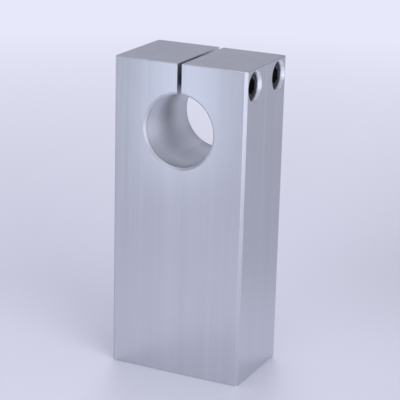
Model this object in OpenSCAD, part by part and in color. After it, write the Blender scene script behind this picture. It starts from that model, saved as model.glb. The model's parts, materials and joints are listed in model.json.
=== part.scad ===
// Shaft support block with a split clamp
//
// A tall aluminium block stands on its base and carries a shaft near its top.
// A slit runs from the shaft bore up through the top face and parts the block
// into two jaws. Two socket head cap screws, side by side along the shaft, pass
// through the near jaw and pull on threads in the far one.
//
// Millimetres. The origin is the middle of the base, X runs across the jaws
// with the screw heads on the +X side, Y runs along the shaft and Z is up.

/* [Block] */
// Height of the shaft axis above the base
shaft_height = 87; // [50:1:200]
// Wall on either side of the shaft bore
side_wall = 12; // [11:0.5:24]
// Depth of the block along the shaft
block_d = 32; // [28:1:60]
// Wall between the counterbores and the top face
top_wall = 0.6; // [0.5:0.1:6]
// Chamfer along the four upright edges
upright_chamfer = 1; // [0.3:0.1:2]
// Edge break round the top and bottom faces
end_break = 0.2; // [0.1:0.05:0.4]

/* [Shaft bore] */
// Diameter of the shaft bore
bore_d = 25; // [16:0.5:40]
// Chamfer at both mouths of the bore
bore_chamfer = 0.8; // [0.2:0.1:2]
// Width of the slit between the jaws
slit_w = 1.6; // [1:0.1:4]

/* [Clamp screws] */
// Thread diameter
screw_d = 6; // [4:0.5:7]
// Thread pitch
screw_pitch = 1; // [0.7:0.05:1.25]
// Length of thread held by the far jaw
screw_grip = 12; // [8:0.5:16]
// Head diameter
head_d = 10; // [8.5:0.5:13]
// Head height
head_h = 6; // [4:0.5:8]
// Rounding of the head's outer edge
head_round = 0.6; // [0.2:0.1:1]
// Width of the hexagon socket across its flats
hex_key = 5; // [3:0.5:6]
// Depth of the hexagon socket
hex_depth = 3; // [2:0.5:3.5]
// Depth of the head's face below the side of the block
head_recess = 1.3; // [0.2:0.1:4]
// Wall between the counterbores and the front and back faces
face_wall = 1.2; // [1:0.1:4]
// Web between the shaft bore and the screw holes
bore_web = 1.3; // [0.8:0.1:6]

/* [Clearances] */
// Gap round a screw head in its counterbore
head_gap = 0.3; // [0.1:0.05:0.5]
// Gap round a screw in the near jaw
shank_gap = 0.3; // [0.1:0.05:0.5]
// Gap between the crests of a screw thread and its tapped hole
thread_gap = 0.05; // [0.02:0.01:0.1]
// Free thread past the point of a clamp screw
point_gap = 1.5; // [0.5:0.5:3]

/* [Base holes] */
// Thread diameter of the two fixing holes
base_thread_d = 8; // [5:1:10]
// Thread pitch of the fixing holes
base_pitch = 1.25; // [0.8:0.05:1.5]
// Depth of full thread
base_thread_depth = 20; // [8:1:30]
// Distance from the sides of the block to the hole axes
base_hole_inset = 9.5; // [8:0.5:12]
// Countersink at the mouth of a fixing hole
base_countersink = 0.5; // [0.2:0.1:1]
// Depth of plain drilling past the thread
drill_run = 2; // [1:0.5:4]

/* [Hidden] */
$fn = 96;

// Overshoot that lets a cut pass cleanly through a face
over = 1;
// Angle between the wall and the axis of a drill point
drill_angle = 59;
// Segments in the rounding of a screw head
round_steps = 6;

block_w = bore_d + 2 * side_wall;
counterbore_r = head_d / 2 + head_gap;
shank_hole_r = screw_d / 2 + shank_gap;
shank_r = screw_d / 2 - thread_gap;

screw_z = shaft_height + bore_d / 2 + bore_web + shank_hole_r;
screw_y = block_d / 2 - face_wall - counterbore_r;
block_h = screw_z + counterbore_r + top_wall;

// Plane that a screw head seats on, and the length of screw below it
seat_x = block_w / 2 - head_recess - head_h;
screw_l = seat_x + slit_w / 2 + screw_grip;
base_hole_x = block_w / 2 - base_hole_inset;

// Outline of a rectangle, centred on the origin, with its corners cut
module cut_rectangle(w, h, cut) {
    x = w / 2;
    y = h / 2;
    polygon([
        [-x + cut, -y], [x - cut, -y], [x, -y + cut], [x, y - cut],
        [x - cut, y], [-x + cut, y], [-x, y - cut], [-x, -y + cut]
    ]);
}

// Length of bar with chamfered upright edges and lightly broken ends
module bar_blank() {
    intersection() {
        linear_extrude(block_h)
            cut_rectangle(block_w, block_d, upright_chamfer);
        translate([0, block_d / 2, block_h / 2])
            rotate([90, 0, 0])
                linear_extrude(block_d)
                    cut_rectangle(block_w, block_h, end_break);
        translate([-block_w / 2, 0, block_h / 2])
            rotate([90, 0, 90])
                linear_extrude(block_w)
                    cut_rectangle(block_d, block_h, end_break);
    }
}

// Round cut along +Z from the origin, with a 45 degree chamfer at its mouth
module chamfered_cut(r, depth, chamfer) {
    rotate_extrude()
        polygon([
            [0, -over], [r + chamfer + over, -over], [r + chamfer, 0],
            [r, chamfer], [r, depth], [0, depth]
        ]);
}

// Tapped hole along +Z from the origin: thread, plain drilling and drill point
module tapped_cut(d, pitch, depth, countersink) {
    core_r = (d - pitch) / 2;
    chamfered_cut(d / 2, depth, countersink);
    cylinder(r = core_r, h = depth + drill_run);
    translate([0, 0, depth + drill_run])
        cylinder(r1 = core_r, r2 = 0, h = core_r / tan(drill_angle));
}

module shaft_bore() {
    for (end = [-1, 1])
        translate([0, end * block_d / 2, shaft_height])
            rotate([end * 90, 0, 0])
                chamfered_cut(bore_d / 2, block_d / 2 + over, bore_chamfer);
}

module clamp_slit() {
    translate([-slit_w / 2, -block_d / 2 - over, shaft_height])
        cube([slit_w, block_d + 2 * over, block_h - shaft_height + over]);
}

// Puts its children on a screw axis, with +Z running from the side face inwards
module on_screw_axis(y, x) {
    translate([x, y, screw_z])
        rotate([0, -90, 0])
            children();
}

module screw_hole(y) {
    on_screw_axis(y, block_w / 2 + over)
        cylinder(r = counterbore_r, h = over + head_recess + head_h);
    on_screw_axis(y, seat_x + over)
        cylinder(r = shank_hole_r, h = seat_x + over);
    on_screw_axis(y, 0)
        tapped_cut(screw_d, screw_pitch, slit_w / 2 + screw_grip + point_gap, 0);
}

module base_hole(x) {
    translate([x, 0, 0])
        tapped_cut(base_thread_d, base_pitch, base_thread_depth, base_countersink);
}

module support_block() {
    color("lightsteelblue")
        difference() {
            bar_blank();
            shaft_bore();
            clamp_slit();
            for (end = [-1, 1])
                screw_hole(end * screw_y);
            for (side = [-1, 1])
                base_hole(side * base_hole_x);
        }
}

// Half section of a cap screw, with the seat of its head at height 0, the head
// below it and the threaded shank above it
function screw_profile() = concat(
    [[0, -head_h], [head_d / 2 - head_round, -head_h]],
    [
        for (i = [1:round_steps])
            let (a = 90 * i / round_steps)
                [
                    head_d / 2 - head_round + head_round * sin(a),
                    -head_h + head_round - head_round * cos(a)
                ]
    ],
    [
        [head_d / 2, 0], [shank_r, 0], [shank_r, screw_l - screw_pitch / 2],
        [shank_r - screw_pitch / 2, screw_l], [0, screw_l]
    ]
);

// Hexagon socket with a conical floor, cut into the face of the head
module hex_socket() {
    flat_r = hex_key / 2;
    translate([0, 0, -head_h - over])
        cylinder(r = flat_r / cos(30), h = hex_depth + over, $fn = 6);
    translate([0, 0, -head_h + hex_depth])
        cylinder(r1 = flat_r, r2 = 0, h = flat_r / tan(drill_angle));
}

module clamp_screw(y) {
    color("dimgray")
        on_screw_axis(y, seat_x)
            difference() {
                rotate_extrude()
                    polygon(screw_profile());
                hex_socket();
            }
}

support_block();
clamp_screw(-screw_y);  // front_clamp_screw
clamp_screw(screw_y);  // rear_clamp_screw
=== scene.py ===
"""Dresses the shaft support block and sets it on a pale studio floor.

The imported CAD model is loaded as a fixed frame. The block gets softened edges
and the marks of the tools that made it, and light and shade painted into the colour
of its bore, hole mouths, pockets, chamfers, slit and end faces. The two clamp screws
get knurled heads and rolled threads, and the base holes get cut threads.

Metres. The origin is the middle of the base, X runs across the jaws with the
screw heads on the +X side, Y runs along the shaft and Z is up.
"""

import json
import math

import bmesh
import bpy
from mathutils import Matrix, Vector


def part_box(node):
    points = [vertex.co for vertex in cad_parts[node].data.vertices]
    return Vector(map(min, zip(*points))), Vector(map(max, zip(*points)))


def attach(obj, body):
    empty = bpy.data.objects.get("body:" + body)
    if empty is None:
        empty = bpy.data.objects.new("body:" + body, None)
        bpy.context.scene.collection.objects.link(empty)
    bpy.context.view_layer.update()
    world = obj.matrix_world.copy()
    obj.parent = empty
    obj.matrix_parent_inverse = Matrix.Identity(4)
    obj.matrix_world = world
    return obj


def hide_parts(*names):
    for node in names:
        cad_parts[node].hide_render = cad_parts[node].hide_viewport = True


bl_info = {
    "name": "Shaft Support Block",
    "version": (1, 0, 0),
    "blender": (4, 5, 0),
    "location": "3D View > Sidebar > Shaft Support",
    "description": "Dresses a split clamp shaft support and sets its stage",
    "category": "Object",
}

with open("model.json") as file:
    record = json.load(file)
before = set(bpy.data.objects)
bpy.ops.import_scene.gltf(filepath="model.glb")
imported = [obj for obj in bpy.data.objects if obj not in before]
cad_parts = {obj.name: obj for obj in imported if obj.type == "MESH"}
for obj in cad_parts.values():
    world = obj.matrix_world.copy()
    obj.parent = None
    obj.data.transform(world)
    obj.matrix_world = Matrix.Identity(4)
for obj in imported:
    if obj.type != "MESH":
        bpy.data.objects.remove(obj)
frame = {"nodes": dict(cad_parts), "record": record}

MM = 0.001
TURN = 2 * math.pi

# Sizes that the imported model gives

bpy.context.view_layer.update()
BLOCK_LOW, BLOCK_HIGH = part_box("support_block")
FRONT_LOW, FRONT_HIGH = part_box("front_clamp_screw")
REAR_LOW, REAR_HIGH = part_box("rear_clamp_screw")
MOUNTS = {mount["name"]: mount for mount in frame["record"]["mounts"]}

BLOCK_W = BLOCK_HIGH.x - BLOCK_LOW.x
BLOCK_D = BLOCK_HIGH.y - BLOCK_LOW.y
BLOCK_H = BLOCK_HIGH.z - BLOCK_LOW.z
SHAFT_Z = MOUNTS["shaft_bore"]["pos_m"][2]
BORE_R = MOUNTS["shaft_bore"]["dims"]["r_mm"] * MM
BASE_HOLE_X = MOUNTS["base_fixing_holes"]["dims"]["spacing_x_mm"] * MM / 2
BASE_HOLE_R = MOUNTS["base_fixing_holes"]["dims"]["hole_r_mm"] * MM

HEAD_R = (FRONT_HIGH.z - FRONT_LOW.z) / 2
SCREW_Z = (FRONT_HIGH.z + FRONT_LOW.z) / 2
SCREW_Y = (REAR_HIGH.y + REAR_LOW.y) / 2
HEAD_FACE_X = FRONT_HIGH.x
SCREW_TIP_X = FRONT_LOW.x

# Mesh cleaning and edges

MERGE_GAP = 0.002 * MM  # corners closer than this are one
FLAT_ANGLE = math.radians(0.6)  # faces that bend less than this are one
SHARP_ANGLE = math.radians(25)  # edges that bend more than this are sharp
EDGE_STEPS = 2  # faces across a softened edge
ROUND_STEPS = 96  # faces round a turned shape

# Threads

THREAD_STEPS = 36  # points in one turn
THREAD_ROOT = 0.94  # width at the root, in pitches
THREAD_CREST = 0.14  # width at the crest, in pitches
THREAD_END = 0.02  # size at both ends, as a share of the full size
THREAD_SUNK = 0.04 * MM  # depth of the root inside the metal that carries it
BASE_THREAD_START = 0.9 * MM  # height of the first turn above the base

# Clamp screws

KNURL_HEIGHT = 0.12 * MM
KEY_CHAMFER = 0.12 * MM
KEY_CONE = 0.985  # radius of the cone under the socket, in half key widths
KEY_RING = 1.35  # radius of the ring of faces round it, in half key widths
SEAT_CHAMFER = 0.25 * MM
HEAD_STEPS = 8  # faces across the rounding of the head
DRILL_ANGLE = math.radians(59)
SCREW_THREAD_DEPTH = 0.58  # this and the lengths that follow are in pitches
THREAD_START = 1.4
THREAD_STOP = 0.5
NECK_START = 1.5
NECK_END = 2.2
POINT_LENGTH = 0.8
POINT_CHAMFER = 0.6

# Stage

SENSOR_WIDTH = 36.0
CLIP_NEAR = 0.01
CLIP_FAR = 100
FLOOR_R = 12.0
FLOOR_GAP = 0.02 * MM  # the floor lies this far below the base
UNDER_EDGE = 0.3 * MM  # the floor reaches this far under the base
FADE_START = 0.1  # the floor fades into the surround between these distances
FADE_END = 0.6
HORIZON = 0.8  # level of the surround at the horizon
SKY = 0.44  # level of the surround overhead
HORIZON_TOP = 0.24  # heights, as part of a direction, between which it changes
HORIZON_FOOT = 0.02
SIDE_HEADING = (0.87, 0.5)  # headings, as x and y, in which the studio is dimmer
FRONT_HEADING = (-0.44, -0.9)
HEADING_START = 0.3  # a heading takes in places between these cosines from it
HEADING_FULL = 0.95
STUDIO_DROP = 0.35  # fall of the level in the middle of a heading
FLOOR_FLECK = 0.01
# Painted shade on the floor to the right of and behind the block, which darkens what
# its right face mirrors
FLOOR_PAINTED_SHADE = 0.22
FLOOR_DROP_START = 0.03  # distances between which the floor takes its painted shade
FLOOR_DROP_FULL = 0.15


# Settings


class BlockSettings(bpy.types.PropertyGroup):
    """Sizes and colour of the aluminium block."""

    edge_round: bpy.props.FloatProperty(
        name="Edge Round",
        description="Width of the softening along every sharp edge",
        default=0.09 * MM,
        unit="LENGTH",
    )
    slit_width: bpy.props.FloatProperty(
        name="Slit Width",
        description="Width of the slit between the jaws",
        default=1.6 * MM,
        unit="LENGTH",
    )
    counterbore_radius: bpy.props.FloatProperty(
        name="Counterbore Radius",
        description="Radius of the pockets that the screw heads sit in",
        default=HEAD_R + 0.3 * MM,
        unit="LENGTH",
    )
    thread_pitch: bpy.props.FloatProperty(
        name="Base Thread Pitch",
        description="Pitch of the thread in the two base holes",
        default=1.25 * MM,
        unit="LENGTH",
    )
    thread_depth: bpy.props.FloatProperty(
        name="Base Thread Depth",
        description="Depth of full thread in the two base holes",
        default=20 * MM,
        unit="LENGTH",
    )
    colour: bpy.props.FloatVectorProperty(
        name="Aluminium",
        description="Colour of the bare aluminium",
        default=(0.655, 0.667, 0.71),
        subtype="COLOR",
    )
    roughness: bpy.props.FloatProperty(
        name="Roughness",
        description="Roughness of the drawn faces",
        default=0.22,
        subtype="FACTOR",
    )


class ScrewSettings(bpy.types.PropertyGroup):
    """Sizes and colours of the two clamp screws."""

    head_height: bpy.props.FloatProperty(
        name="Head Height",
        description="Height of the screw head",
        default=6 * MM,
        unit="LENGTH",
    )
    head_round: bpy.props.FloatProperty(
        name="Head Rounding",
        description="Rounding of the head's outer edge",
        default=0.6 * MM,
        unit="LENGTH",
    )
    key_width: bpy.props.FloatProperty(
        name="Socket Width",
        description="Width of the hexagon socket across its flats",
        default=5 * MM,
        unit="LENGTH",
    )
    key_depth: bpy.props.FloatProperty(
        name="Socket Depth",
        description="Depth of the hexagon socket to the start of its cone",
        default=3 * MM,
        unit="LENGTH",
    )
    thread_radius: bpy.props.FloatProperty(
        name="Thread Radius",
        description="Radius of the thread crests",
        default=2.95 * MM,
        unit="LENGTH",
    )
    thread_pitch: bpy.props.FloatProperty(
        name="Thread Pitch",
        description="Pitch of the screw thread",
        default=1 * MM,
        unit="LENGTH",
    )
    knurls: bpy.props.IntProperty(
        name="Knurls",
        description="Number of ridges round each head",
        default=54,
        min=12,
    )
    colour: bpy.props.FloatVectorProperty(
        name="Black Oxide",
        description="Colour of the blackened steel",
        default=(0.020, 0.020, 0.024),
        subtype="COLOR",
    )
    worn_colour: bpy.props.FloatVectorProperty(
        name="Worn Steel",
        description="Colour where the black finish has rubbed thin",
        default=(0.10, 0.10, 0.11),
        subtype="COLOR",
    )


class StageSettings(bpy.types.PropertyGroup):
    """Camera, floor and light."""

    camera_azimuth: bpy.props.FloatProperty(
        name="Camera Azimuth",
        description="Angle of the camera round the block, from the front",
        default=math.radians(25.822),
        subtype="ANGLE",
    )
    camera_elevation: bpy.props.FloatProperty(
        name="Camera Elevation",
        description="Angle of the camera above the floor",
        default=math.radians(17.345),
        subtype="ANGLE",
    )
    camera_roll: bpy.props.FloatProperty(
        name="Camera Roll",
        description="Turn of the camera about its line of sight",
        default=math.radians(1.453),
        subtype="ANGLE",
    )
    camera_distance: bpy.props.FloatProperty(
        name="Camera Distance",
        description="Distance from the camera to the point it aims at",
        default=534.15 * MM,
        unit="LENGTH",
    )
    camera_aim: bpy.props.FloatVectorProperty(
        name="Camera Aim",
        description="Point that the camera aims at",
        default=(0.265 * MM, 1.376 * MM, 58.596 * MM),
        subtype="XYZ",
        unit="LENGTH",
    )
    lens: bpy.props.FloatProperty(
        name="Lens",
        description="Focal length in millimetres on a sensor 36 mm wide",
        default=138.4,
    )
    floor_colour: bpy.props.FloatVectorProperty(
        name="Floor",
        description="Colour of the studio floor",
        default=(0.73, 0.73, 0.83),
        subtype="COLOR",
    )
    floor_roughness: bpy.props.FloatProperty(
        name="Floor Roughness",
        description="Roughness of the studio floor",
        default=0.4,
        subtype="FACTOR",
    )
    sky_colour: bpy.props.FloatVectorProperty(
        name="Surround",
        description="Colour of the space round the floor",
        default=(1.0, 1.02, 1.2),
        subtype="COLOR",
    )


SETTINGS = {
    "support_block_settings": BlockSettings,
    "support_screw_settings": ScrewSettings,
    "support_stage_settings": StageSettings,
}


# Shader trees

BUMP_STRENGTH = 0.5


def rgba(colour):
    return (*colour, 1.0)


class Value:
    """A number socket of a shader tree, so that shader maths reads as maths."""

    def __init__(self, paint, socket):
        self.paint = paint
        self.socket = socket

    def __add__(self, other):
        return self.paint.maths("ADD", self, other)

    __radd__ = __add__

    def __sub__(self, other):
        return self.paint.maths("SUBTRACT", self, other)

    def __rsub__(self, other):
        return self.paint.maths("SUBTRACT", other, self)

    def __mul__(self, other):
        return self.paint.maths("MULTIPLY", self, other)

    __rmul__ = __mul__

    def __truediv__(self, other):
        return self.paint.maths("DIVIDE", self, other)

    def __pow__(self, other):
        return self.paint.maths("POWER", self, other)

    def __gt__(self, other):
        return self.paint.maths("GREATER_THAN", self, other)

    def __lt__(self, other):
        return self.paint.maths("LESS_THAN", self, other)

    def __abs__(self):
        return self.paint.maths("ABSOLUTE", self)


class Paint:
    """The node tree of one material or world."""

    def __init__(self, owner):
        owner.use_nodes = True
        self.tree = owner.node_tree
        self.tree.nodes.clear()

    def node(self, kind, settings=None, inputs=None, output=0):
        """Adds a node, sets it up, feeds its inputs and gives one output."""
        made = self.tree.nodes.new(kind)
        for name, value in (settings or {}).items():
            if name == "stops":
                self.set_stops(made.color_ramp, value)
            else:
                setattr(made, name, value)
        for name, value in (inputs or {}).items():
            socket = self.find(made.inputs, name)
            if isinstance(value, Value):
                self.tree.links.new(value.socket, socket)
            else:
                socket.default_value = value
        if not made.outputs:
            return None
        return Value(self, self.find(made.outputs, output))

    def find(self, sockets, name):
        """The socket with this index, identifier or name."""
        if isinstance(name, int):
            return sockets[name]
        for socket in sockets:
            if socket.identifier == name:
                return socket
        return sockets[name]

    def set_stops(self, ramp, stops):
        while len(ramp.elements) < len(stops):
            ramp.elements.new(0.5)
        for element, (position, colour) in zip(ramp.elements, stops):
            element.position = position
            element.color = colour

    def maths(self, operation, *values):
        return self.node(
            "ShaderNodeMath", {"operation": operation}, dict(enumerate(values))
        )

    def coordinate(self, output):
        return self.node("ShaderNodeTexCoord", output=output)

    def parts(self, vector):
        """The three numbers of a vector."""
        return [
            self.node("ShaderNodeSeparateXYZ", None, {0: vector}, axis)
            for axis in ("X", "Y", "Z")
        ]

    def vector(self, x, y, z):
        return self.node("ShaderNodeCombineXYZ", None, {"X": x, "Y": y, "Z": z})

    def distance(self, a, b):
        """The length of a vector in two directions."""
        return (a * a + b * b) ** 0.5

    def noise(self, place, waves, detail=2.0, roughness=0.5):
        """Noise about 0, half up and half down, with waves per metre on each axis."""
        scaled = [part * wave for part, wave in zip(place, waves)]
        level = self.node(
            "ShaderNodeTexNoise",
            {"noise_dimensions": "3D"},
            {
                "Vector": self.vector(*scaled),
                "Scale": 1.0,
                "Detail": detail,
                "Roughness": roughness,
            },
            "Fac",
        )
        return level - 0.5

    def blend(self, factor, a, b):
        """A number that turns from a to b as factor goes from 0 to 1."""
        return self.node(
            "ShaderNodeMix",
            {"data_type": "FLOAT"},
            {"Factor_Float": factor, "A_Float": a, "B_Float": b},
            "Result_Float",
        )

    def ramp(self, value, low, high, curve="LINEAR"):
        """A climb from 0 at low to 1 at high, and high may lie below low."""
        return self.node(
            "ShaderNodeMapRange",
            {"interpolation_type": curve},
            {"Value": value, "From Min": low, "From Max": high},
            "Result",
        )

    def smooth(self, value, low, high):
        """A climb that starts and ends gently."""
        return self.ramp(value, low, high, "SMOOTHSTEP")

    def zigzag(self, value, step):
        """Climbs from -0.5 to 0.5 and falls back, once in every two steps."""
        return self.maths("PINGPONG", value, step) / step - 0.5

    def weighed(self, start, masks, weights):
        """A level that each mask raises or lowers by its own weight."""
        return start + sum(masks[name] * weights[name] for name in weights)

    def tint(self, factor, a, b, mode="MIX"):
        """A colour between a and b, or a with b laid over it by the mode."""
        return self.node(
            "ShaderNodeMix",
            {"data_type": "RGBA", "blend_type": mode, "clamp_factor": True},
            {"Factor_Float": factor, "A_Color": a, "B_Color": b},
            "Result_Color",
        )

    def dimmed(self, colour, level):
        """A plain colour at a level, where 1 leaves it as it is."""
        channels = {"Red": level, "Green": level, "Blue": level}
        grey = self.node("ShaderNodeCombineColor", None, channels)
        return self.tint(1.0, rgba(colour), grey, "MULTIPLY")

    def joined(self, operation, *vectors):
        """Vector maths on whole vectors."""
        return self.node(
            "ShaderNodeVectorMath",
            {"operation": operation},
            dict(enumerate(vectors)),
            "Vector",
        )

    def bump(self, height, distance, normal=None):
        inputs = {"Height": height, "Distance": distance, "Strength": BUMP_STRENGTH}
        if normal is not None:
            inputs["Normal"] = normal
        return self.node("ShaderNodeBump", None, inputs, "Normal")

    def surface(self, values):
        """Ends a material in one Principled shader."""
        shader = self.node("ShaderNodeBsdfPrincipled", None, values, "BSDF")
        self.node("ShaderNodeOutputMaterial", None, {"Surface": shader})


# Materials

GROOVE = 0.07 * MM  # width of one turned groove
BLOCK_MARK_DEPTH = 0.004 * MM
SCREW_MARK_DEPTH = 0.006 * MM
SPECK_SHARE = 0.25  # depth of the specks, as a share of the tool marks
MOTTLE_SHARE = 0.5

# How far past its wall each cut's finish, and the light and shade painted on it,
# reaches

WALL_SLACK = 0.05 * MM
BORE_SLACK = 0.12 * MM
MOUTH_REACH = 0.9 * MM
CHAMFER_REACH = 2 * MM
POCKET_REACH = 7 * MM

# Where each patch of painted light or shade starts and where it is full

GAP_START = 0.1 * MM  # beside a screw head, from its face outwards
GAP_FULL = -0.3 * MM
MOUTH_START = 2.2 * MM  # in the bore, from its ends inwards
MOUTH_FULL = 1 * MM
INSIDE_FULL = 8 * MM
DEEP_START = 6 * MM
HIGH_START = 0.2 * BLOCK_H
HIGH_FULL = 0.65 * BLOCK_H

# Parts of a normal along one axis, by which faces are told apart

SQUARE = 0.9
SLANT_LOW = 0.6
SLANT_HIGH = 0.8
WALL_LEAN = 0.5
BOTTOM_START = 0.86
FAR_SIDE_FULL = -0.6

# Waves per metre of each pattern, along the axes that it is drawn in

BAND_WAVES = (130, 130, 3)
STREAK_WAVES = (420, 420, 5)
GRAIN_WAVES = (2600, 2600, 34)
SPECK_WAVES = (5200, 5200, 5200)
MOTTLE_WAVES = (90, 90, 60)
MILL_WAVES = (3400, 3400, 1)
BORING_WAVES = (5200, 60, 60)
SAW_WAVES = (2600, 70, 70)
POCKET_WAVES = (4200, 4200, 1)
SCREW_MOTTLE_WAVES = (900, 900, 900)
SCREW_TURNING_WAVES = (5200, 5200, 1)
FLOOR_WAVES = (700, 700, 1)
GRAIN_ROUGHNESS = 0.6
MILL_X = -75 * MM  # axis of the face mill
MILL_Y = 30 * MM

# Grain and tool marks of the block, and the light and shade painted into its colour,
# each as a share of that colour

BLOCK_GRAIN_AND_PAINTED_LIGHT = {
    # Grain, tool marks and mottle of the metal
    "plain_bands": 0.12,
    "plain_streaks": 0.16,
    "marks": 0.16,
    "mottle": 0.04,
    # Painted shade on the chamfers, deeper higher up, which dims the key lamp's
    # highlight there
    "chamfer": -0.1,
    "chamfer_high_up_painted_shade": -0.06,
    # Painted light on the hole mouths, more on the side that faces -X, and painted
    # shade on their lower lip
    "mouth": 0.08,
    "mouth_far_side_painted_light": 0.2,
    "mouth_lip_painted_shade": -0.6,
    # Painted highlight on the pocket walls and painted shade beside the screw heads
    "pocket_wall": 0.45,
    "pocket_gap_painted_shade": -0.75,
    # Painted light in the slit and painted shade on the top and base faces
    "slit": 0.15,
    "end": -0.06,
    # Painted light and shade in the bore: lighter overall and at the bottom, darker at
    # the bottom near its ends, deep inside, on the wall facing -X and near its ends
    "bore": 0.22,
    "bore_bottom_inside_painted_light": 0.3,
    "bore_bottom_edge_painted_shade": -0.25,
    "bore_deep_painted_shade": -0.5,
    "bore_far_side_painted_shade": -0.35,
    "bore_at_mouth_painted_shade": -0.2,
}

# What each finish of the block adds to its roughness

BLOCK_ROUGHNESS = {
    "streaks": 0.10,
    "marks": 0.14,
    "mottle": 0.08,
    "mouth": 0.15,
    "bore": 0.3,
    "slit": 0.2,
    "chamfer": 0.18,
    "pocket_wall": 0.2,
    "end": 0.14,
}

# How far turned grooves lean the surface to and fro, and outwards

GROOVE_LEAN = {"bore": 2.4, "bore_bottom": -1.44, "mouth": 1.6}
OUTWARD_LEAN = {"mouth": 0.4, "bore": 0.5, "bore_bottom": -0.5}
POCKET_LEAN = 1.6

# Finish of the clamp screws

SCREW_METALLIC = 0.75
SCREW_ROUGHNESS = 0.42
SCREW_ROUGHNESS_CHANGES = {"mottle": 0.2, "turned": 0.12}
KEY_EDGE = 0.54  # radius at which the socket's edge is rubbed, in key widths
KEY_EDGE_WIDTH = 0.35 * MM
RIM_START = 0.8 * MM  # distances from the outside of the head
RIM_FULL = 0.2 * MM
RUB = 0.22  # how much more the rim and the socket's edge are rubbed
FACE_LEAN = 0.1
WORN_START = 0.12
WORN_FULL = 0.36


def block_finishes_and_painted_light(paint, look, place, facing):
    """Where each finish of the block and each patch of light or shade painted into its
    colour lies, as masks from 0 to 1.
    """
    x, y, z = place
    lean = paint.parts(facing)
    nx, ny, nz = [abs(part) for part in lean]
    up = paint.maths("MAXIMUM", lean[2], 0.0)
    from_bore = paint.distance(x, z - SHAFT_Z)
    from_screw = paint.distance(abs(y) - SCREW_Y, z - SCREW_Z)
    from_middle = abs(y)
    end = BLOCK_D / 2

    slanted = (ny > SLANT_LOW) * (ny < SLANT_HIGH)
    mouth = (from_bore < BORE_R + MOUTH_REACH) * slanted
    bore = (from_bore < BORE_R + BORE_SLACK) * (ny < SLANT_LOW)
    slit_wall = (abs(x) < look.slit_width / 2 + WALL_SLACK) * (nx > SQUARE)
    at_corner = abs(x) > BLOCK_W / 2 - CHAMFER_REACH
    chamfer = (nx > SLANT_LOW) * (ny > SLANT_LOW) * at_corner
    pocket = (from_screw < look.counterbore_radius + WALL_SLACK) * (
        x > HEAD_FACE_X - POCKET_REACH
    )
    pocket_wall = pocket * (nx < WALL_LEAN)
    # These masks place light and shade painted into the colour: beside the screw heads,
    # high up, on walls facing -X, at the bottom, deep in the bore and near its ends
    beside_head = paint.smooth(x, HEAD_FACE_X + GAP_START, HEAD_FACE_X + GAP_FULL)

    high_up = paint.smooth(z, HIGH_START, HIGH_FULL)
    far_side = paint.smooth(lean[0], 0.0, FAR_SIDE_FULL)
    bottom = paint.smooth(up, BOTTOM_START, 1.0)
    deep = paint.smooth(from_middle, end - DEEP_START, 0.0) * (1 - up)
    inside = paint.smooth(from_middle, end, end - INSIDE_FULL)
    at_mouth = paint.smooth(from_middle, end - MOUTH_START, end - MOUTH_FULL)
    return {
        "end": nz > SQUARE,
        "chamfer": chamfer,
        "chamfer_high_up_painted_shade": chamfer * high_up,
        "slit": slit_wall * (z > SHAFT_Z),
        "pocket": pocket,
        "pocket_wall": pocket_wall,
        "pocket_gap_painted_shade": pocket_wall * beside_head,
        "mouth": mouth,
        "mouth_far_side_painted_light": mouth * far_side,
        "mouth_lip_painted_shade": mouth * bottom,
        "bore": bore,
        "bore_bottom": bore * up,
        "bore_bottom_inside_painted_light": bore * up * inside,
        "bore_bottom_edge_painted_shade": bore * bottom * (1 - inside),
        "bore_deep_painted_shade": bore * deep,
        "bore_far_side_painted_shade": bore * far_side,
        "bore_at_mouth_painted_shade": bore * at_mouth,
    }


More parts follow.
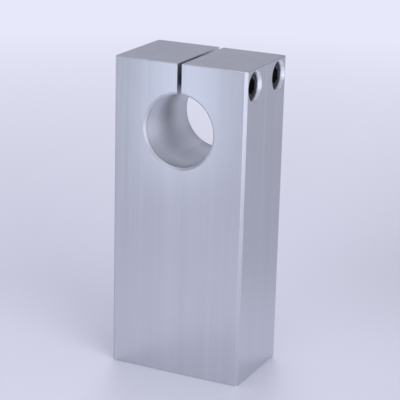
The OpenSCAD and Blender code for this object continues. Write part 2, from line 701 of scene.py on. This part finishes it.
def aluminium_material(look):
    """Satin aluminium that carries the marks of each tool on its own faces, with light
    and shade painted into its colour.
    """
    material = bpy.data.materials.new("satin_aluminium")
    paint = Paint(material)
    place = x, y, z = paint.parts(paint.coordinate("Object"))
    facing = paint.coordinate("Normal")
    masks = block_finishes_and_painted_light(paint, look, place, facing)

    # Grain of the drawn bar, which runs up the faces
    drawn = (x + y, x - y, z)
    bands = paint.noise(drawn, BAND_WAVES, 1.0)
    streaks = paint.noise(drawn, STREAK_WAVES)
    grain = paint.noise(drawn, GRAIN_WAVES, 3.0, GRAIN_ROUGHNESS)
    speck = paint.noise(place, SPECK_WAVES)

    # Arcs that the face mill left on the top and the base, rings from boring,
    # saw lines in the slit and rings in the pockets
    sweep = paint.distance(x - MILL_X, y - MILL_Y)
    from_screw = paint.distance(abs(y) - SCREW_Y, z - SCREW_Z)
    arcs = paint.noise((sweep, sweep, 0.0), MILL_WAVES)
    rings = paint.noise((y, x, z), BORING_WAVES)
    saw = paint.noise((z, y, x), SAW_WAVES)
    turned = paint.noise((from_screw, x, 0.0), POCKET_WAVES)
    marks = paint.blend(masks["end"], grain, arcs)
    marks = paint.blend(masks["bore"], marks, rings)
    marks = paint.blend(masks["slit"], marks, saw)
    marks = paint.blend(masks["pocket"], marks, turned)

    plain = 1 - paint.maths("MAXIMUM", masks["bore"], masks["pocket"])
    masks["marks"] = marks
    masks["mottle"] = paint.noise(place, MOTTLE_WAVES, 3.0)
    masks["streaks"] = streaks
    masks["plain_streaks"] = streaks * plain
    masks["plain_bands"] = bands * plain

    # Turned grooves lean the surface to and fro along the axis of each hole
    groove_lean = paint.weighed(0.0, masks, GROOVE_LEAN)
    outward_lean = paint.weighed(0.0, masks, OUTWARD_LEAN)
    outward = paint.maths("SIGN", y)
    lean_y = paint.zigzag(y, GROOVE) * groove_lean + outward * outward_lean
    lean_x = (1.0 + paint.zigzag(x, GROOVE) * POCKET_LEAN) * masks["pocket_wall"]
    leaning = paint.joined(
        "NORMALIZE", paint.joined("ADD", facing, paint.vector(lean_x, lean_y, 0.0))
    )
    height = marks + speck * SPECK_SHARE
    paint.surface(
        {
            # The colour carries grain and tool marks, and light and shade painted on
            # the chamfers, hole mouths, pockets, slit, end faces and bore
            "Base Color": paint.dimmed(
                look.colour, paint.weighed(1.0, masks, BLOCK_GRAIN_AND_PAINTED_LIGHT)
            ),
            "Metallic": 1.0,
            "Roughness": paint.weighed(look.roughness, masks, BLOCK_ROUGHNESS),
            "Normal": paint.bump(height, BLOCK_MARK_DEPTH, leaning),
        }
    )
    return material


def black_steel_material(look):
    """Black oxide on steel, rubbed thin on the rim of the head and of the socket."""
    material = bpy.data.materials.new("black_steel")
    paint = Paint(material)
    place = x, y, z = paint.parts(paint.coordinate("Object"))
    nx = paint.parts(paint.coordinate("Normal"))[0]
    from_axis = paint.distance(abs(y) - SCREW_Y, z - SCREW_Z)

    mottle = paint.noise(place, SCREW_MOTTLE_WAVES, 3.0)
    turned = paint.noise((from_axis, x, 0.0), SCREW_TURNING_WAVES)
    from_key_edge = abs(from_axis - look.key_width * KEY_EDGE)
    key_edge = paint.smooth(from_key_edge, KEY_EDGE_WIDTH, 0.0)
    rim = paint.smooth(from_axis, HEAD_R - RIM_START, HEAD_R - RIM_FULL)
    rubbed = paint.maths("MAXIMUM", rim, key_edge) * (nx > FACE_LEAN)
    worn = paint.smooth(mottle + RUB * rubbed, WORN_START, WORN_FULL)
    masks = {"mottle": mottle, "turned": turned}
    rough = paint.weighed(SCREW_ROUGHNESS, masks, SCREW_ROUGHNESS_CHANGES)
    height = turned + mottle * MOTTLE_SHARE
    paint.surface(
        {
            "Base Color": paint.tint(worn, rgba(look.colour), rgba(look.worn_colour)),
            "Metallic": SCREW_METALLIC,
            "Roughness": rough,
            "Normal": paint.bump(height, SCREW_MARK_DEPTH),
        }
    )
    return material


def in_heading(paint, x, y, away, heading):
    """How far a place lies in one heading from the block, from 0 to 1."""
    cosine = (x * heading[0] + y * heading[1]) / away
    return paint.smooth(cosine, HEADING_START, HEADING_FULL)


def studio_level(paint, x, y, away):
    """The level of the far studio in one direction, which is 1 at most."""
    side = in_heading(paint, x, y, away, SIDE_HEADING)
    front = in_heading(paint, x, y, away, FRONT_HEADING)
    return 1 - STUDIO_DROP * side - STUDIO_DROP * front


def floor_material(look):
    """Pale satin floor with painted shade to the right and behind, whose far part glows
    into the surround, open from below.
    """
    material = bpy.data.materials.new("studio_floor")
    paint = Paint(material)
    x, y, _ = paint.parts(paint.coordinate("Object"))
    away = paint.distance(x, y)
    fleck = paint.noise((x, y, 0.0), FLOOR_WAVES, 3.0)
    # Painted shade to the right of and behind the block darkens the floor's colour
    # there
    side = in_heading(paint, x, y, away, SIDE_HEADING)
    painted_shade = side * paint.smooth(away, FLOOR_DROP_START, FLOOR_DROP_FULL)
    near = paint.node(
        "ShaderNodeBsdfPrincipled",
        None,
        {
            "Base Color": paint.dimmed(
                look.floor_colour, 1.0 + fleck * FLOOR_FLECK - FLOOR_PAINTED_SHADE * painted_shade
            ),
            "Roughness": look.floor_roughness,
            "Specular IOR Level": 1.0,
        },
        "BSDF",
    )
    # Farther out the floor glows at the surround's level in place of being lit
    level = studio_level(paint, x, y, away)
    far_colour = paint.dimmed(look.sky_colour, HORIZON * level)
    far = paint.node("ShaderNodeEmission", None, {"Color": far_colour})
    fade = paint.ramp(away, FADE_START, FADE_END)
    floor = paint.node("ShaderNodeMixShader", None, {0: fade, 1: near, 2: far})

    # The base can be looked at from below, through the floor
    below = paint.node("ShaderNodeNewGeometry", output="Backfacing")
    under_x = abs(x) < BLOCK_W / 2 - UNDER_EDGE
    under_y = abs(y) < BLOCK_D / 2 - UNDER_EDGE
    clear = paint.node("ShaderNodeBsdfTransparent")
    opening = paint.maths("MAXIMUM", below, under_x * under_y)
    floor = paint.node("ShaderNodeMixShader", None, {0: opening, 1: floor, 2: clear})
    paint.node("ShaderNodeOutputMaterial", None, {"Surface": floor})
    return material


# Meshes


def show(mesh, name):
    """Links a mesh to the scene as an object at the origin."""
    made = bpy.data.objects.new(name, mesh)
    bpy.context.scene.collection.objects.link(made)
    return made


def freeze(made):
    """Turns an object's evaluated shape into its plain mesh."""
    graph = bpy.context.evaluated_depsgraph_get()
    graph.update()
    mesh = bpy.data.meshes.new_from_object(
        made.evaluated_get(graph), preserve_all_data_layers=True, depsgraph=graph
    )
    made.modifiers.clear()
    made.data = mesh
    return made


def merged_copy(node_name):
    """A CAD node's shape with its loose triangles merged into whole faces."""
    source = frame["nodes"][node_name].data
    shape = bmesh.new()
    shape.from_mesh(source)
    bmesh.ops.remove_doubles(shape, verts=shape.verts, dist=MERGE_GAP)
    bmesh.ops.dissolve_limit(
        shape, angle_limit=FLAT_ANGLE, verts=shape.verts, edges=shape.edges
    )
    mesh = bpy.data.meshes.new("block_shape")
    shape.to_mesh(mesh)
    shape.free()
    return mesh


# Geometry node trees

LENGTH = "NodeSocketFloat"
PLACE = "NodeSocketVector"


class Growth:
    """A geometry node tree with named inputs."""

    def __init__(self, name, inputs):
        self.tree = bpy.data.node_groups.new(name, "GeometryNodeTree")
        self.tree.is_modifier = True
        face = self.tree.interface
        face.new_socket("Geometry", in_out="INPUT", socket_type="NodeSocketGeometry")
        for label, kind, default in inputs:
            socket = face.new_socket(label, in_out="INPUT", socket_type=kind)
            if default is not None:
                socket.default_value = default
        face.new_socket("Geometry", in_out="OUTPUT", socket_type="NodeSocketGeometry")
        self.given = self.tree.nodes.new("NodeGroupInput")
        self.result = self.tree.nodes.new("NodeGroupOutput")

    def take(self, label):
        return self.given.outputs[label]

    def node(self, kind, settings=None, inputs=None, output=0):
        """Adds a node, sets it up, feeds its inputs and gives one output."""
        made = self.tree.nodes.new(kind)
        for name, value in (settings or {}).items():
            setattr(made, name, value)
        for name, value in (inputs or {}).items():
            values = value if isinstance(value, list) else [value]
            for one in values:
                if isinstance(one, bpy.types.NodeSocket):
                    self.tree.links.new(one, made.inputs[name])
                else:
                    made.inputs[name].default_value = one
        return made.outputs[output]

    def maths(self, operation, *values):
        return self.node(
            "ShaderNodeMath", {"operation": operation}, dict(enumerate(values))
        )

    def vector(self, x=0.0, y=0.0, z=0.0):
        return self.node("ShaderNodeCombineXYZ", None, {"X": x, "Y": y, "Z": z})

    def end(self, geometry):
        self.tree.links.new(geometry, self.result.inputs["Geometry"])
        return self.tree


def thread_ridge(growth, crest, root, pitch, length):
    """A helical ridge up +Z between two radii, faded at both of its ends."""
    turns = growth.maths("DIVIDE", length, pitch)
    path = growth.node(
        "GeometryNodeCurveSpiral",
        None,
        {
            "Resolution": THREAD_STEPS,
            "Rotations": turns,
            "Start Radius": crest,
            "End Radius": crest,
            "Height": length,
            "Reverse": True,
        },
    )
    path = growth.node("GeometryNodeSetCurveNormal", {"mode": "Z_UP"}, {"Curve": path})
    along = growth.node("GeometryNodeSplineParameter", output="Factor")
    run_in = growth.maths("MULTIPLY", along, turns)
    run_out = growth.maths("MULTIPLY", growth.maths("SUBTRACT", 1.0, along), turns)
    fade = growth.maths("MINIMUM", growth.maths("MINIMUM", run_in, run_out), 1.0)
    path = growth.node(
        "GeometryNodeSetCurveRadius",
        None,
        {"Curve": path, "Radius": growth.maths("MAXIMUM", fade, THREAD_END)},
    )
    # The narrow side of the profile lies on the path, the wide side at the root,
    # which is inside the crest on a screw and outside it in a hole
    height = growth.maths("SUBTRACT", crest, root)
    turned = growth.maths("MULTIPLY", growth.maths("SIGN", height), -TURN / 4)
    profile = growth.node(
        "GeometryNodeCurvePrimitiveQuadrilateral",
        {"mode": "TRAPEZOID"},
        {
            "Height": growth.maths("ABSOLUTE", height),
            "Bottom Width": growth.maths("MULTIPLY", pitch, THREAD_ROOT),
            "Top Width": growth.maths("MULTIPLY", pitch, THREAD_CREST),
            "Offset": 0.0,
        },
    )
    profile = growth.node(
        "GeometryNodeTransform",
        None,
        {
            "Geometry": profile,
            "Rotation": growth.vector(0.0, 0.0, turned),
            "Translation": growth.vector(growth.maths("MULTIPLY", height, -0.5)),
        },
    )
    return growth.node(
        "GeometryNodeCurveToMesh",
        None,
        {"Curve": path, "Profile Curve": profile, "Scale": 1.0, "Fill Caps": True},
    )


def at_two_places(growth, shape, first, step, rotation):
    """Copies of a shape at two points, as real mesh."""
    points = growth.node(
        "GeometryNodeMeshLine",
        {"mode": "OFFSET"},
        {"Count": 2, "Start Location": first, "Offset": step},
    )
    copies = growth.node(
        "GeometryNodeInstanceOnPoints",
        None,
        {"Points": points, "Instance": shape, "Rotation": rotation},
    )
    return growth.node("GeometryNodeRealizeInstances", None, {"Geometry": copies})


def base_thread_tree():
    """Cut threads in the two base holes, joined to the block they are cut in."""
    growth = Growth(
        "base_threads",
        [
            ("Crest Radius", LENGTH, None),
            ("Root Radius", LENGTH, None),
            ("Pitch", LENGTH, None),
            ("Length", LENGTH, None),
            ("First Hole", PLACE, None),
            ("Hole Step", PLACE, None),
            ("Material", "NodeSocketMaterial", None),
        ],
    )
    ridge = thread_ridge(
        growth,
        growth.take("Crest Radius"),
        growth.take("Root Radius"),
        growth.take("Pitch"),
        growth.take("Length"),
    )
    ridges = at_two_places(
        growth,
        ridge,
        growth.take("First Hole"),
        growth.take("Hole Step"),
        (0.0, 0.0, 0.0),
    )
    whole = growth.node(
        "GeometryNodeJoinGeometry",
        None,
        {"Geometry": [growth.take("Geometry"), ridges]},
    )
    return growth.end(
        growth.node(
            "GeometryNodeSetMaterial",
            None,
            {"Geometry": whole, "Material": growth.take("Material")},
        )
    )


def clamp_screw_tree():
    """A knurled head and a rolled thread on a plain screw, set at two places."""
    growth = Growth(
        "clamp_screws",
        [
            ("Thread Radius", LENGTH, None),
            ("Core Radius", LENGTH, None),
            ("Pitch", LENGTH, None),
            ("Thread Length", LENGTH, None),
            ("Thread Start", PLACE, None),
            ("Knurls", "NodeSocketInt", None),
            ("Knurl Radius", LENGTH, None),
            ("Knurl Size", PLACE, None),
            ("Knurl Start", PLACE, None),
            ("First Screw", PLACE, None),
            ("Screw Step", PLACE, None),
            ("Material", "NodeSocketMaterial", None),
        ],
    )
    thread = thread_ridge(
        growth,
        growth.take("Thread Radius"),
        growth.take("Core Radius"),
        growth.take("Pitch"),
        growth.take("Thread Length"),
    )
    thread = growth.node(
        "GeometryNodeTransform",
        None,
        {"Geometry": thread, "Translation": growth.take("Thread Start")},
    )
    # Square bars stand on edge round the head, each turned to face outwards
    round_head = growth.node(
        "GeometryNodeMeshCircle",
        None,
        {"Vertices": growth.take("Knurls"), "Radius": growth.take("Knurl Radius")},
    )
    place = growth.node("GeometryNodeInputPosition")
    apart = growth.tree.nodes.new("ShaderNodeSeparateXYZ")
    growth.tree.links.new(place, apart.inputs[0])
    facing = growth.maths("ARCTAN2", apart.outputs["Y"], apart.outputs["X"])
    turned = growth.vector(0.0, 0.0, growth.maths("ADD", facing, TURN / 8))
    bar = growth.node("GeometryNodeMeshCube", None, {"Size": growth.take("Knurl Size")})
    knurls = growth.node(
        "GeometryNodeInstanceOnPoints",
        None,
        {"Points": round_head, "Instance": bar, "Rotation": turned},
    )
    knurls = growth.node(
        "GeometryNodeTransform",
        None,
        {"Geometry": knurls, "Translation": growth.take("Knurl Start")},
    )
    screw = growth.node(
        "GeometryNodeJoinGeometry",
        None,
        {"Geometry": [growth.take("Geometry"), thread, knurls]},
    )
    screws = at_two_places(
        growth,
        screw,
        growth.take("First Screw"),
        growth.take("Screw Step"),
        (0.0, -TURN / 4, 0.0),
    )
    return growth.end(
        growth.node(
            "GeometryNodeSetMaterial",
            None,
            {"Geometry": screws, "Material": growth.take("Material")},
        )
    )


def grow(made, tree, values):
    """Gives an object a geometry node modifier with these inputs."""
    modifier = made.modifiers.new(tree.name, "NODES")
    modifier.node_group = tree
    for item in tree.interface.items_tree:
        if item.in_out == "INPUT" and item.name in values:
            modifier[item.identifier] = values[item.name]
    return modifier


def revolved(name, rings):
    """A closed shape through rings round Z, from one pole to the other.

    Each ring is a height and an outline, and an outline gives a radius at an angle.
    """
    shape = bmesh.new()
    loops = []
    for height, outline in rings:
        if outline is None:
            loops.append([shape.verts.new((0, 0, height))])
            continue
        loop = []
        for i in range(ROUND_STEPS):
            angle = TURN * i / ROUND_STEPS
            radius = outline(angle)
            x = radius * math.cos(angle)
            y = radius * math.sin(angle)
            loop.append(shape.verts.new((x, y, height)))
        loops.append(loop)
    for low, high in zip(loops, loops[1:]):
        for i in range(ROUND_STEPS):
            j = (i + 1) % ROUND_STEPS
            corners = [low[i % len(low)], low[j % len(low)]]
            corners += [high[j % len(high)], high[i % len(high)]]
            shape.faces.new(list(dict.fromkeys(corners)))
    bmesh.ops.recalc_face_normals(shape, faces=shape.faces)
    mesh = bpy.data.meshes.new(name)
    shape.to_mesh(mesh)
    shape.free()
    return mesh


def circle(radius):
    return lambda angle: radius


def hexagon(flat_radius):
    """A hexagon with a corner at angle 0, as a radius at each angle."""
    sixth = TURN / 6
    return lambda angle: flat_radius / math.cos(angle % sixth - sixth / 2)


def screw_body(look, core_radius, length):
    """A screw with a smooth head and a plain core, with its seat at height 0."""
    face = -look.head_height
    flat = look.key_width / 2
    floor = face + look.key_depth
    side = HEAD_R - KNURL_HEIGHT
    bend = look.head_round
    thread = look.thread_radius
    pitch = look.thread_pitch
    rings = [
        (floor + flat / math.tan(DRILL_ANGLE), None),
        (floor, circle(flat * KEY_CONE)),
        (floor, hexagon(flat)),
        (face + KEY_CHAMFER, hexagon(flat)),
        (face, hexagon(flat + KEY_CHAMFER)),
        (face, circle(flat * KEY_RING)),
    ]
    for i in range(HEAD_STEPS + 1):
        angle = TURN / 4 * i / HEAD_STEPS
        height = face + bend - bend * math.cos(angle)
        rings.append((height, circle(side - bend + bend * math.sin(angle))))
    rings += [
        (-SEAT_CHAMFER, circle(side)),
        (0.0, circle(side - SEAT_CHAMFER)),
        (0.0, circle(thread)),
        (pitch * NECK_START, circle(thread)),
        (pitch * NECK_END, circle(core_radius)),
        (length - pitch * POINT_LENGTH, circle(core_radius)),
        (length, circle(core_radius - pitch * POINT_CHAMFER)),
        (length, None),
    ]
    mesh = revolved("clamp_screw_body", rings)
    mesh.polygons.foreach_set("use_smooth", [True] * len(mesh.polygons))
    mesh.set_sharp_from_angle(angle=SHARP_ANGLE)
    return mesh


# Stage parts


def aim(made, place, target, roll=0.0):
    """Puts a camera or a lamp at a place, looking at a target."""
    back = (place - target).normalized()
    right = Vector((0, 0, 1)).cross(back).normalized()
    up = back.cross(right)
    turned_right = right * math.cos(roll) + up * math.sin(roll)
    turned_up = up * math.cos(roll) - right * math.sin(roll)
    turned = Matrix((turned_right, turned_up, back)).transposed().to_4x4()
    made.matrix_world = Matrix.Translation(place) @ turned


def direction(azimuth, elevation):
    """The way out from the block, with azimuth 0 in front and 90 on its right."""
    level = math.cos(elevation)
    return Vector(
        (
            math.sin(azimuth) * level,
            -math.cos(azimuth) * level,
            math.sin(elevation),
        )
    )


def add_camera(stage):
    data = bpy.data.cameras.new("camera")
    data.sensor_width = SENSOR_WIDTH
    data.lens = stage.lens
    data.clip_start = CLIP_NEAR
    data.clip_end = CLIP_FAR
    camera = show(data, "camera")
    target = Vector(stage.camera_aim)
    out = direction(stage.camera_azimuth, stage.camera_elevation)
    aim(camera, target + out * stage.camera_distance, target, stage.camera_roll)
    bpy.context.scene.camera = camera


def metal_pieces():
    """The collection of the pieces that some lamps are kept for."""
    kept = bpy.data.collections.get("metal_pieces")
    return kept or bpy.data.collections.new("metal_pieces")


def add_lamp(name, azimuth, distance, height, aim_height, size, power, colour, reach):
    """A soft light round the block, which faces its axis at the aim height.

    Its reach is "all", "metal" for a lamp that lights the metal pieces alone, or
    "floor" for one that nothing mirrors, so that metal doesn't show it.
    """
    data = bpy.data.lights.new(name, "AREA")
    data.shape = "RECTANGLE"
    data.size = size[0]
    data.size_y = size[1]
    data.energy = power
    data.color = colour
    lamp = show(data, name)
    out = direction(math.radians(azimuth), 0.0)
    aim(lamp, out * distance + Vector((0, 0, height)), Vector((0, 0, aim_height)))
    lamp.visible_camera = False
    lamp.visible_glossy = reach != "floor"
    if reach == "metal":
        lamp.light_linking.receiver_collection = metal_pieces()


WHITE = (1.0, 1.0, 1.0)
PALE_BLUE = (0.95, 0.98, 1.08)
DEEP_BLUE = (0.76, 0.86, 1.0)

LAMPS = [
    # name, azimuth in degrees, distance, height, aim height, size, power in watts,
    # colour, reach
    ("key_light", 60, 0.31, 0.1, 0.1, (0.24, 0.2), 0.17, PALE_BLUE, "metal"),
    ("beam_light", 60, 0.7, 0.22, 0.05, (0.5, 0.3), 3.75, WHITE, "floor"),
    ("strip_light", -24.7, 0.27, 0.08, 0.08, (0.03, 0.18), 0.015, DEEP_BLUE, "metal"),
    ("front_light", 5, 1.0, 0.45, 0.05, (1.2, 0.8), 1.15, WHITE, "all"),
    ("overhead_light", 0, 0.1, 0.95, 0.05, (0.9, 0.9), 2.1, WHITE, "all"),
    ("left_light", 265, 1.0, 0.5, 0.05, (0.9, 0.9), 0.25, WHITE, "all"),
    ("back_light", 206, 0.4, 1.0, 0.0, (0.2, 0.2), 1.6, WHITE, "floor"),
    ("fill_light", 0, 0.05, 1.2, 0.0, (0.8, 0.8), 0.2, WHITE, "floor"),
]


def add_surround(stage):
    """A pale space, dimmer in two headings, that metal sees as the camera does."""
    world = bpy.data.worlds.new("surround")
    bpy.context.scene.world = world
    paint = Paint(world)
    x, y, z = paint.parts(paint.coordinate("Generated"))
    horizon = paint.smooth(z, HORIZON_TOP, HORIZON_FOOT)
    level = studio_level(paint, x, y, 1.0)
    strength = (SKY + (HORIZON - SKY) * horizon) * level
    colour = paint.dimmed(stage.sky_colour, strength)
    glow = paint.node("ShaderNodeBackground", None, {"Color": colour})
    paint.node("ShaderNodeOutputWorld", None, {"Surface": glow})


def add_floor(stage):
    """A wide level floor under the block."""
    shape = bmesh.new()
    bmesh.ops.create_circle(shape, cap_ends=True, segments=ROUND_STEPS, radius=FLOOR_R)
    bmesh.ops.translate(shape, verts=shape.verts, vec=(0, 0, -FLOOR_GAP))
    mesh = bpy.data.meshes.new("studio_floor")
    shape.to_mesh(mesh)
    shape.free()
    mesh.materials.append(floor_material(stage))
    floor = show(mesh, "studio_floor")


# Operators


class SUPPORT_OT_stage(bpy.types.Operator):
    """Sets up the camera, the pale floor, the surround and the soft lights"""

    bl_idname = "support.stage"
    bl_label = "Set Stage"

    def execute(self, context):
        stage = context.scene.support_stage_settings
        add_camera(stage)
        add_surround(stage)
        add_floor(stage)
        for lamp in LAMPS:
            add_lamp(*lamp)
        context.scene.view_settings.view_transform = "Standard"
        return {"FINISHED"}


class SUPPORT_OT_block(bpy.types.Operator):
    """Builds the aluminium block with soft edges and threaded base holes"""

    bl_idname = "support.block"
    bl_label = "Build Block"

    def execute(self, context):
        look = context.scene.support_block_settings
        mesh = merged_copy("support_block")
        mesh.polygons.foreach_set("use_smooth", [True] * len(mesh.polygons))
        block = show(mesh, "clamp_block")
        bevel = block.modifiers.new("soft_edges", "BEVEL")
        bevel.width = look.edge_round
        bevel.segments = EDGE_STEPS
        bevel.limit_method = "ANGLE"
        bevel.angle_limit = SHARP_ANGLE
        bevel.miter_outer = "MITER_ARC"
        bevel.use_clamp_overlap = True
        start = BASE_THREAD_START
        grow(
            block,
            base_thread_tree(),
            {
                "Crest Radius": BASE_HOLE_R - look.thread_pitch / 2,
                "Root Radius": BASE_HOLE_R + THREAD_SUNK,
                "Pitch": look.thread_pitch,
                "Length": look.thread_depth - start,
                "First Hole": (-BASE_HOLE_X, 0.0, start),
                "Hole Step": (2 * BASE_HOLE_X, 0.0, 0.0),
                "Material": aluminium_material(look),
            },
        )
        weighted = block.modifiers.new("flat_faces", "WEIGHTED_NORMAL")
        weighted.keep_sharp = True
        freeze(block)
        metal_pieces().objects.link(block)
        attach(block, "root")
        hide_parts("support_block")
        return {"FINISHED"}


class SUPPORT_OT_screws(bpy.types.Operator):
    """Builds the two socket head cap screws that draw the jaws together"""

    bl_idname = "support.screws"
    bl_label = "Build Clamp Screws"

    def execute(self, context):
        look = context.scene.support_screw_settings
        seat_x = HEAD_FACE_X - look.head_height
        length = seat_x - SCREW_TIP_X
        core = look.thread_radius - SCREW_THREAD_DEPTH * look.thread_pitch
        start = look.thread_pitch * THREAD_START
        stop = length - look.thread_pitch * THREAD_STOP
        screws = show(screw_body(look, core, length), "clamp_screws")
        knurl_length = look.head_height - look.head_round - SEAT_CHAMFER
        knurl_side = KNURL_HEIGHT * math.sqrt(2)
        grow(
            screws,
            clamp_screw_tree(),
            {
                "Thread Radius": look.thread_radius,
                "Core Radius": core - THREAD_SUNK,
                "Pitch": look.thread_pitch,
                "Thread Length": stop - start,
                "Thread Start": (0.0, 0.0, start),
                "Knurls": look.knurls,
                "Knurl Radius": HEAD_R - KNURL_HEIGHT,
                "Knurl Size": (knurl_side, knurl_side, knurl_length),
                "Knurl Start": (0.0, 0.0, -SEAT_CHAMFER - knurl_length / 2),
                "First Screw": (seat_x, -SCREW_Y, SCREW_Z),
                "Screw Step": (0.0, 2 * SCREW_Y, 0.0),
                "Material": black_steel_material(look),
            },
        )
        freeze(screws)
        metal_pieces().objects.link(screws)
        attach(screws, "root")
        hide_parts("front_clamp_screw", "rear_clamp_screw")
        return {"FINISHED"}


STEPS = [SUPPORT_OT_stage, SUPPORT_OT_block, SUPPORT_OT_screws]


class SUPPORT_PT_panel(bpy.types.Panel):
    """Builds the shaft support block step by step"""

    bl_label = "Shaft Support Block"
    bl_idname = "SUPPORT_PT_panel"
    bl_space_type = "VIEW_3D"
    bl_region_type = "UI"
    bl_category = "Shaft Support"

    def draw(self, context):
        for step in STEPS:
            self.layout.operator(step.bl_idname)
        for name in SETTINGS:
            box = self.layout.box()
            settings = getattr(context.scene, name)
            for label in settings.__annotations__:
                box.prop(settings, label)


def register():
    for name, settings in SETTINGS.items():
        bpy.utils.register_class(settings)
        setattr(bpy.types.Scene, name, bpy.props.PointerProperty(type=settings))
    for made in [*STEPS, SUPPORT_PT_panel]:
        bpy.utils.register_class(made)


def unregister():
    for made in reversed([*STEPS, SUPPORT_PT_panel]):
        bpy.utils.unregister_class(made)
    for name, settings in SETTINGS.items():
        delattr(bpy.types.Scene, name)
        bpy.utils.unregister_class(settings)


def main():
    register()
    bpy.ops.support.stage()
    bpy.ops.support.block()
    bpy.ops.support.screws()


if __name__ == "__main__":
    main()
